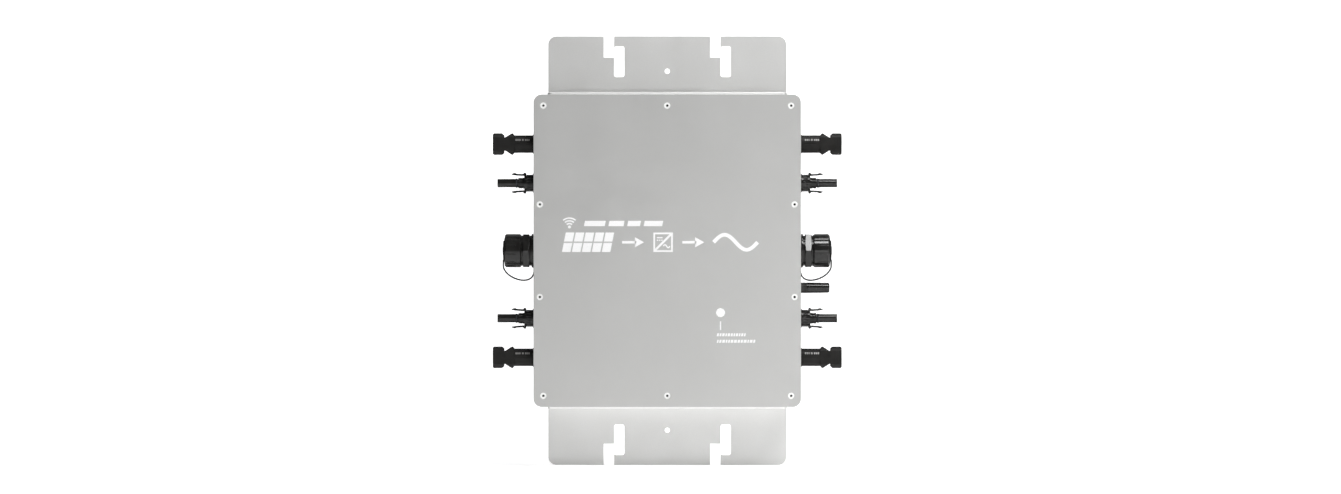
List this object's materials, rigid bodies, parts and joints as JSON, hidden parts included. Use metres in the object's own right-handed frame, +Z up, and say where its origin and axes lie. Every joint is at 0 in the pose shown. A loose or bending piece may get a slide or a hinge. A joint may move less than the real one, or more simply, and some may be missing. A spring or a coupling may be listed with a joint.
{
  "type": "micro inverter",
  "caption": "Flat finned aluminium inverter with hook brackets, DC connectors, capped AC ports and a stub antenna.",
  "frame": {"origin": "centre of the rear mounting plane, midway between the two small fixing holes", "axes": "+X to the right, +Z up, and -Y towards the front cover, seen from the front"},
  "size_m": [0.3018, 0.04, 0.3726],
  "materials": {
    "cover_aluminium": "bead-blasted clear anodised",
    "bracket_aluminium": "bead-blasted clear anodised",
    "cast_aluminium": "die cast, light texture",
    "screw_steel": "zinc plated",
    "clamp_steel": "spring steel strip",
    "connector_black": "moulded black, semi-gloss",
    "port_black": "moulded black, semi-gloss",
    "nut_nylon": "nylon",
    "antenna_rubber": "soft moulded",
    "antenna_knurl": "moulded with a knurl",
    "soft_rubber": "soft, dull",
    "contact_metal": "tin and gold plated",
    "window_clear": "frosted polycarbonate",
    "led_epoxy": "diffused epoxy",
    "board_green": "solder mask",
    "radio_board": "solder mask and a metal can",
    "ferrite": "dark ferrite",
    "winding_tape": "yellow tape over copper",
    "choke_enamel": "enamelled copper on a coated ring",
    "can_sleeve": "heat-shrink sleeve",
    "film_epoxy": "potted box",
    "relay_shell": "moulded",
    "transistor_epoxy": "moulded package",
    "pad_silicone": "silicone foil",
    "wire_red": "PVC sleeve",
    "wire_brown": "PVC sleeve",
    "coax_black": "coaxial sleeve"
  },
  "bodies": {
    "case": {"cover": "cover_aluminium", "bracket_top": "bracket_aluminium", "bracket_bottom": "bracket_aluminium", "housing": "cast_aluminium", "cover_screws": "screw_steel", "bracket_screws": "screw_steel", "board_screws": "screw_steel", "transistor_clamps": "clamp_steel", "dc_receptacle_left_top": "connector_black", "dc_receptacle_left_bottom": "connector_black", "dc_receptacle_right_top": "connector_black", "dc_receptacle_right_bottom": "connector_black", "dc_plug_left_upper": "connector_black", "dc_plug_left_lower": "connector_black", "dc_plug_right_upper": "connector_black", "dc_plug_right_lower": "connector_black", "ac_port_left": "port_black", "ac_port_right": "port_black", "lock_nuts": "nut_nylon", "cover_gasket": "soft_rubber", "panel_gaskets": "soft_rubber", "dc_plug_orings": "soft_rubber", "dc_pin_contacts": "contact_metal", "dc_socket_contacts": "contact_metal", "ac_port_contacts": "contact_metal", "antenna_jack": "contact_metal", "status_window": "window_clear", "status_led": "led_epoxy", "main_board": "board_green", "control_board": "board_green", "radio_module": "radio_board", "transformer_cores": "ferrite", "transformer_windings": "winding_tape", "emc_choke": "choke_enamel", "electrolytic_capacitors": "can_sleeve", "film_capacitors": "film_epoxy", "relays": "relay_shell", "power_transistors": "transistor_epoxy", "insulating_pads": "pad_silicone", "dc_wires": "wire_red", "ac_bus_wires": "wire_brown", "antenna_pigtail": "coax_black"},
    "tether_left": {"ac_tether_left": "soft_rubber"},
    "cap_left": {"ac_cap_left": "port_black", "ac_cap_seal_left": "soft_rubber", "ac_cap_button_left": "port_black"},
    "tether_right": {"ac_tether_right": "soft_rubber"},
    "cap_right": {"ac_cap_right": "port_black", "ac_cap_seal_right": "soft_rubber", "ac_cap_button_right": "port_black"},
    "antenna": {"antenna_stub": "antenna_rubber"},
    "collar": {"antenna_collar": "antenna_knurl"},
    "latch_left_upper_a": {"latch_left_upper_a": "connector_black"},
    "latch_left_upper_b": {"latch_left_upper_b": "connector_black"},
    "latch_left_lower_a": {"latch_left_lower_a": "connector_black"},
    "latch_left_lower_b": {"latch_left_lower_b": "connector_black"},
    "latch_right_upper_a": {"latch_right_upper_a": "connector_black"},
    "latch_right_upper_b": {"latch_right_upper_b": "connector_black"},
    "latch_right_lower_a": {"latch_right_lower_a": "connector_black"},
    "latch_right_lower_b": {"latch_right_lower_b": "connector_black"}
  },
  "joints": [
    {"name": "cap_slide_left", "type": "slide", "parent": "case", "child": "tether_left", "axis": [-1, 0, 0], "range_m": [0, 0.012], "deforming": ["ac_tether_left"]},
    {"name": "cap_turn_left", "type": "hinge", "parent": "tether_left", "child": "cap_left", "pos_m": [-0.114, -0.0236, 0], "axis": [1, 0, 0], "range_deg": [0, 1440]},
    {"name": "cap_slide_right", "type": "slide", "parent": "case", "child": "tether_right", "axis": [1, 0, 0], "range_m": [0, 0.012], "deforming": ["ac_tether_right"]},
    {"name": "cap_turn_right", "type": "hinge", "parent": "tether_right", "child": "cap_right", "pos_m": [0.114, -0.0236, 0], "axis": [-1, 0, 0], "range_deg": [0, 1440]},
    {"name": "antenna_slide", "type": "slide", "parent": "case", "child": "antenna", "axis": [1, 0, 0], "range_m": [0, 0.00494]},
    {"name": "collar_turn", "type": "hinge", "parent": "antenna", "child": "collar", "pos_m": [0.114, -0.0236, -0.0321], "axis": [-1, 0, 0], "range_deg": [0, 2520]},
    {"name": "latch_left_upper_a_flex", "type": "hinge", "parent": "case", "child": "latch_left_upper_a", "pos_m": [-0.1228, -0.0236, 0.0647], "axis": [0, -1, 0], "range_deg": [0, 8], "stiffness_Nm_per_rad": 0.02},
    {"name": "latch_left_upper_b_flex", "type": "hinge", "parent": "case", "child": "latch_left_upper_b", "pos_m": [-0.1228, -0.0236, 0.0523], "axis": [0, 1, 0], "range_deg": [0, 8], "stiffness_Nm_per_rad": 0.02},
    {"name": "latch_left_lower_a_flex", "type": "hinge", "parent": "case", "child": "latch_left_lower_a", "pos_m": [-0.1228, -0.0236, -0.0523], "axis": [0, -1, 0], "range_deg": [0, 8], "stiffness_Nm_per_rad": 0.02},
    {"name": "latch_left_lower_b_flex", "type": "hinge", "parent": "case", "child": "latch_left_lower_b", "pos_m": [-0.1228, -0.0236, -0.0647], "axis": [0, 1, 0], "range_deg": [0, 8], "stiffness_Nm_per_rad": 0.02},
    {"name": "latch_right_upper_a_flex", "type": "hinge", "parent": "case", "child": "latch_right_upper_a", "pos_m": [0.1228, -0.0236, 0.0647], "axis": [0, 1, 0], "range_deg": [0, 8], "stiffness_Nm_per_rad": 0.02},
    {"name": "latch_right_upper_b_flex", "type": "hinge", "parent": "case", "child": "latch_right_upper_b", "pos_m": [0.1228, -0.0236, 0.0523], "axis": [0, -1, 0], "range_deg": [0, 8], "stiffness_Nm_per_rad": 0.02},
    {"name": "latch_right_lower_a_flex", "type": "hinge", "parent": "case", "child": "latch_right_lower_a", "pos_m": [0.1228, -0.0236, -0.0523], "axis": [0, 1, 0], "range_deg": [0, 8], "stiffness_Nm_per_rad": 0.02},
    {"name": "latch_right_lower_b_flex", "type": "hinge", "parent": "case", "child": "latch_right_lower_b", "pos_m": [0.1228, -0.0236, -0.0647], "axis": [0, -1, 0], "range_deg": [0, 8], "stiffness_Nm_per_rad": 0.02}
  ],
  "couplings": [
    {"joint": "cap_turn_left", "follows": "cap_slide_left", "rad_per_m": 2094.4},
    {"joint": "cap_turn_right", "follows": "cap_slide_right", "rad_per_m": 2094.4},
    {"joint": "collar_turn", "follows": "antenna_slide", "rad_per_m": 8904.7}
  ]
}
